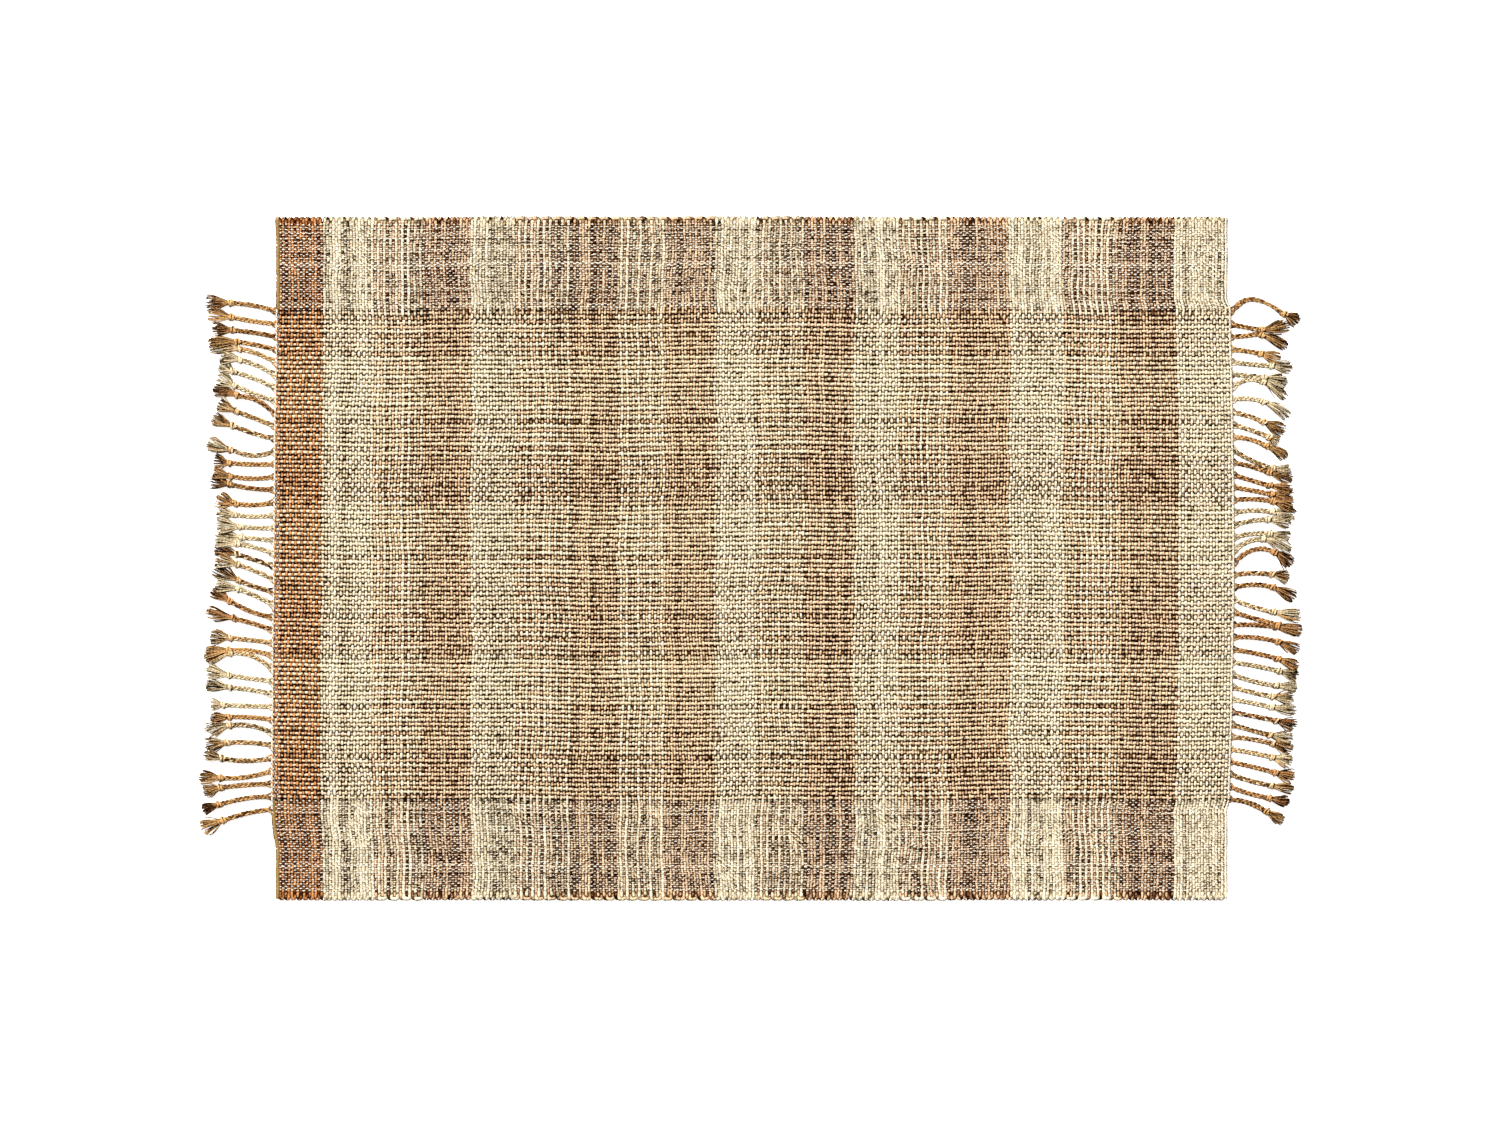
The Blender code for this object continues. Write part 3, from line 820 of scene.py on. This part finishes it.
# %% Shape one braid
BRAID_PERIOD = 15 * MM
STRAND_SWING = 1.75 * MM
STRAND_LIFT = 0.95 * MM
BRAID_HEIGHT = 3.2 * MM
KNOT_LENGTH = 8 * MM
PLIES = 26


class Centreline:
    """The line a braid follows: through its root, its knot and its tip."""

    def __init__(self, root, knot, tip, knot_lean, tip_lean, bow):
        self.root, self.knot, self.tip, self.bow = root, knot, tip, bow
        self.curve = np.polyfit([0, knot, tip], [0, knot_lean, tip_lean], 2)

    def at(self, way, across, height):
        """Points at a way along the braid, moved across it and lifted."""
        lean = np.polyval(self.curve, way)
        lean = lean + self.bow * np.sin(math.pi * np.clip(way / self.knot, 0, 1))
        slope = np.polyval(np.polyder(self.curve), way)
        size = np.sqrt(1 + slope ** 2)
        out = way - across * slope / size
        sideways = lean + across / size
        x = self.root[0] + math.copysign(1, self.root[0]) * out
        return np.stack([x, self.root[1] + sideways, height + 0 * x], -1)


def braid_strands(line, skein, dyes, tones, chance, seed):
    """Three strands crossing over each other from the end cord to the knot."""
    way = np.linspace(-2 * MM, line.knot + 2 * MM, 46)
    start = chance.uniform(0, 1)
    together = ease(way, 0 * MM, 6 * MM)
    paths = []
    for strand in range(3):
        phase = 2 * math.pi * (way / BRAID_PERIOD + strand / 3 + start)
        woven = STRAND_SWING * np.sin(phase)
        across = (strand - 1) * 3.4 * MM * (1 - together) + woven * together
        height = BRAID_HEIGHT + STRAND_LIFT * np.sin(2 * phase) * (0.3 + 0.7 * together)
        paths.append(line.at(way, across, height))
    width = 2.6 * MM * (1 + 0.06 * np.sin(way / (4 * MM)))
    skein.add(np.array(paths), width, 2.3 * MM, dyes, tones, seed)


def braid_knot(line, skein, dyes, tones, chance, seed):
    """Two turns of yarn each way round the end of the braid."""
    turns = np.linspace(0, 1, 26)
    for wrap, (count, hand) in enumerate(((2.1, 1), (1.2, -1))):
        angle = 2 * math.pi * turns * count * hand + chance.uniform(0, 2 * math.pi)
        way = line.knot + KNOT_LENGTH * (0.1 + 0.75 * turns) + 0.8 * MM * np.cos(angle)
        radius = (3.3 + 0.5 * wrap) * MM * np.sin(math.pi * (0.2 + 0.6 * turns))
        across = radius * np.cos(angle)
        height = 3.75 * MM + 2.1 * MM * np.sin(angle)
        path = line.at(way, across, height)
        middle = line.at(way, 0 * way, np.full(len(way), 3.75 * MM))
        outward = path - middle
        skein.add([path], 3.1 * MM, 2.5 * MM, [dyes[wrap]], [tones[wrap]], seed + wrap,
                  outward=[outward])


def braid_tail(line, skein, dyes, tones, chance, seed, lifted, spread):
    """The frayed ends past the knot: a fan of plies that sink to the floor."""
    share = np.linspace(0, 1, 11)
    begin = line.knot + KNOT_LENGTH * 0.55
    fan = np.linspace(-1, 1, PLIES) + chance.uniform(-0.12, 0.12, PLIES)
    length = line.tip - begin
    reach = length * (1 - 0.3 * chance.random(PLIES) ** 2 - 0.1 * fan ** 2)
    way = begin + reach[:, None] * share
    opened = 1.6 * MM + spread * ease(share, 0, 1) ** 0.8
    across = fan[:, None] * opened
    across = across + (chance.uniform(-1, 1, (PLIES, 1)) * 1.3 * MM * share
                       * np.sin(3 * share + chance.uniform(0, 6, (PLIES, 1))))
    low = (0.7 + 2.6 * chance.random((PLIES, 1)) + (2.2 if lifted else 0)) * MM
    height = 3.6 * MM + (low - 3.6 * MM) * ease(share, 0, 0.7)
    height = height + 0.9 * MM * np.sin(math.pi * share) * chance.random((PLIES, 1))
    width = 1.9 * MM * (1 - 0.35 * share) * chance.uniform(0.7, 1.2, (PLIES, 1))
    colours = chance.choice(dyes, PLIES)
    shades = chance.choice(tones, PLIES) + chance.uniform(-1, 1, PLIES)
    skein.add(line.at(way, across, height), width, width * 0.8, colours, shades, seed, sides=4)


# %% [markdown]
# Forty braids at each end go into twenty pieces of two, one for each solid of the CAD model. Each
# braid carries on the wander of the cloth at its root.

# %% Braid the fringe
LEFT_ROOT_ROW = (277.0, -282.0)     # first and last root, in mm across the rug
RIGHT_ROOT_ROW = (277.0, -270.0)
BOWS = {("right", 0): 9, ("right", 1): 2, ("right", 2): -3, ("left", 8): 3, ("left", 11): -3}
FRINGE = {
    "left": (-BAND_END, LEFT_ROOT_ROW, LEFT_KNOTS, LEFT_TIPS, LEFT_KNOT_LEANS, LEFT_TIP_LEANS,
             LEFT_YARNS, -1, (4.6, 8.2)),
    "right": (BAND_END, RIGHT_ROOT_ROW, RIGHT_KNOTS, RIGHT_TIPS, RIGHT_KNOT_LEANS,
              RIGHT_TIP_LEANS, RIGHT_YARNS, 1, (3.8, 6.6)),
}


def lay_fringe(sign):
    """The wander of the cloth carried on into the fringe, without its stretch."""
    def lay(points):
        root = points.copy()
        root[:, 0] = sign * BAND_END
        moved = lay_cloth(root) - root
        out = points + moved
        out[:, 2] = np.maximum(out[:, 2], 0.2 * MM)
        return out
    return lay


fringe_pieces = {"left": [], "right": []}
for end, facts in FRINGE.items():
    root_x, roots, knots, tips, knot_leans, tip_leans, yarns, sign, tail_widths = facts
    places = np.linspace(roots[0], roots[1], len(knots))
    for pair in range(len(knots) // 2):
        skein = Skein()
        for braid in (2 * pair, 2 * pair + 1):
            seed = 1000 * (2 + sign) + 10 * braid
            chance = np.random.default_rng(seed)
            bow = BOWS.get((end, braid), 0) * MM + chance.uniform(-0.8, 0.8) * MM
            knot = (knots[braid] - KNOT_LENGTH / MM / 2) * MM
            line = Centreline((root_x, places[braid] * MM), knot, tips[braid] * MM,
                              knot_leans[braid] * MM, tip_leans[braid] * MM, bow)
            pair_of_dyes = [DYES.index(LETTERS[letter]) for letter in yarns[braid]]
            dyes = [pair_of_dyes[0], pair_of_dyes[1], pair_of_dyes[0]]
            tones = chance.uniform(-1, 1, 3)
            braid_strands(line, skein, dyes, tones, chance, seed + 1)
            braid_knot(line, skein, dyes, tones, chance, seed + 2)
            braid_tail(line, skein, dyes, tones, chance, seed + 5, braid % 2 == 1,
                       chance.uniform(*tail_widths) * MM)
        name = f"{end}_fringe_{2 * pair + 1:02d}_{2 * pair + 2:02d}"
        # own=0.9: here the crown attribute follows each strand's roundness, so each strand's sides get
        # painted shade, drawn as dark outlines, and its top a painted highlight.
        piece = skein.wind(name, lay_fringe(sign), lambda points: (-4.5 * MM, 7.8 * MM), own=0.9)
        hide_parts(f"{end}_braids_{2 * pair + 1:02d}_{2 * pair + 2:02d}")
        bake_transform(piece)
        fringe_pieces[end].append(piece)
print(sum(map(len, fringe_pieces.values())), "fringe pieces of two braids")

# %% [markdown]
# ## The room
#
# The rug lies on a plain pale floor that glows, as a light table does, so that the fringe throws
# almost no shadow. Only the part of the floor under the cloth is painted dark, as painted shade that
# stands for the cloth's shadow there. That is a studio trick, not a part of the rug: it keeps the
# holes of the weave dark, and on a pale floor they would look lighter. A white cove far away gives low
# views a white ground, and casts no light.
#
# A soft ceiling fills in, and one firmer light comes from the upper left. That light, with the painted
# shade and painted highlights of the yarn colours, draws the beads of the weave: each yarn gets a
# bright crown and a dark hollow beside it.

# %% Floor, light and camera
def floor_paint(name, colour, glow):
    """Plain matt floor paint. Glow is how much the light table under it adds."""
    paint = bpy.data.materials.new(name)
    paint.use_nodes = True
    shader = paint.node_tree.nodes["Principled BSDF"]
    shader.inputs["Base Color"].default_value = linear(colour)
    shader.inputs["Roughness"].default_value = 0.7
    shader.inputs["Emission Color"].default_value = linear("ffffff")
    shader.inputs["Emission Strength"].default_value = glow
    return paint


FLOOR_REACH = 30.0                  # metres: far enough that no view sees its edge
FLOOR_DROP = 0.2 * MM               # how far the floor lies below the cloth's underside
DARK_INSET = 4 * MM                 # the dark paint stops this far inside the cloth's edges
COVE_RADIUS = 40.0
shaded_x, shaded_y = BAND_END - DARK_INSET, FAR_EDGE - DARK_INSET
outer = [(-FLOOR_REACH, -FLOOR_REACH), (FLOOR_REACH, -FLOOR_REACH),
         (FLOOR_REACH, FLOOR_REACH), (-FLOOR_REACH, FLOOR_REACH)]
inner = [(-shaded_x, -shaded_y), (shaded_x, -shaded_y), (shaded_x, shaded_y), (-shaded_x, shaded_y)]
floor_mesh = bpy.data.meshes.new("studio_floor")
rings = [(0, 1, 5, 4), (1, 2, 6, 5), (2, 3, 7, 6), (3, 0, 4, 7), (4, 5, 6, 7)]
floor_mesh.from_pydata([(x, y, -FLOOR_DROP) for x, y in outer + inner], [], rings)
floor_mesh.materials.append(floor_paint("lit_white_floor", "fbfbfb", 0.88))
# The dark paint under the cloth is painted shade: it stands for the shadow the cloth casts on the
# floor.
floor_mesh.materials.append(floor_paint("painted_shadow_under_the_rug", "241409", 0.0))
floor_mesh.polygons[4].material_index = 1
floor = bpy.data.objects.new("studio_floor", floor_mesh)
bpy.context.scene.collection.objects.link(floor)

cove_mesh = bpy.data.meshes.new("white_cove")
shape = bmesh.new()
bmesh.ops.create_uvsphere(shape, u_segments=32, v_segments=16, radius=COVE_RADIUS)
shape.to_mesh(cove_mesh)
shape.free()
cove_mesh.materials.append(floor_paint("lit_white_cove", "fbfbfb", 1.0))
cove = bpy.data.objects.new("white_cove", cove_mesh)
cove.visible_diffuse = cove.visible_glossy = cove.visible_shadow = False
cove.visible_transmission = False
bpy.context.scene.collection.objects.link(cove)

sun = bpy.data.lights.new("key_light", "SUN")
sun.energy = 5.2
sun.angle = math.radians(7)
sun.color = linear("fff5e6")[:3]
key = bpy.data.objects.new("key_light", sun)
key.rotation_euler = (math.radians(-38), math.radians(-28), 0)
bpy.context.scene.collection.objects.link(key)

world = bpy.data.worlds.new("soft_ceiling")
world.use_nodes = True
sky = world.node_tree.nodes["Background"]
sky.inputs["Color"].default_value = linear("fff3e4")
sky.inputs["Strength"].default_value = 0.12
bpy.context.scene.world = world

lens = bpy.data.cameras.new("view_from_above")
lens.type = "ORTHO"
lens.ortho_scale = 1.6785
camera = bpy.data.objects.new("view_from_above", lens)
camera.location = (-1.7 * MM, -4.5 * MM, 2.0)
bpy.context.scene.collection.objects.link(camera)
bpy.context.scene.camera = camera
bpy.context.scene.view_settings.view_transform = "Standard"

# %% [markdown]
# ## Which pieces go with which stripe
#
# Each weft stripe is a length of cloth as wide as the stripe and as long as the rug is wide, laid flat
# on the floor. The lists below give the warp, cotton, cord and fringe pieces that go with each stripe.

LAST_STRIPE = len(WEFT_STRIPES) - 1
MIDDLE_STRIPE = len(WEFT_STRIPES) // 2
with_stripe = {number: [] for number in range(len(WEFT_STRIPES))}
with_stripe[0] += [cord_pieces[0], cord_pieces[2], cord_pieces[3], *fringe_pieces["left"]]
with_stripe[LAST_STRIPE] += [cord_pieces[1], cord_pieces[4], cord_pieces[5], *fringe_pieces["right"]]
with_stripe[MIDDLE_STRIPE] += warp_pieces + cotton_pieces
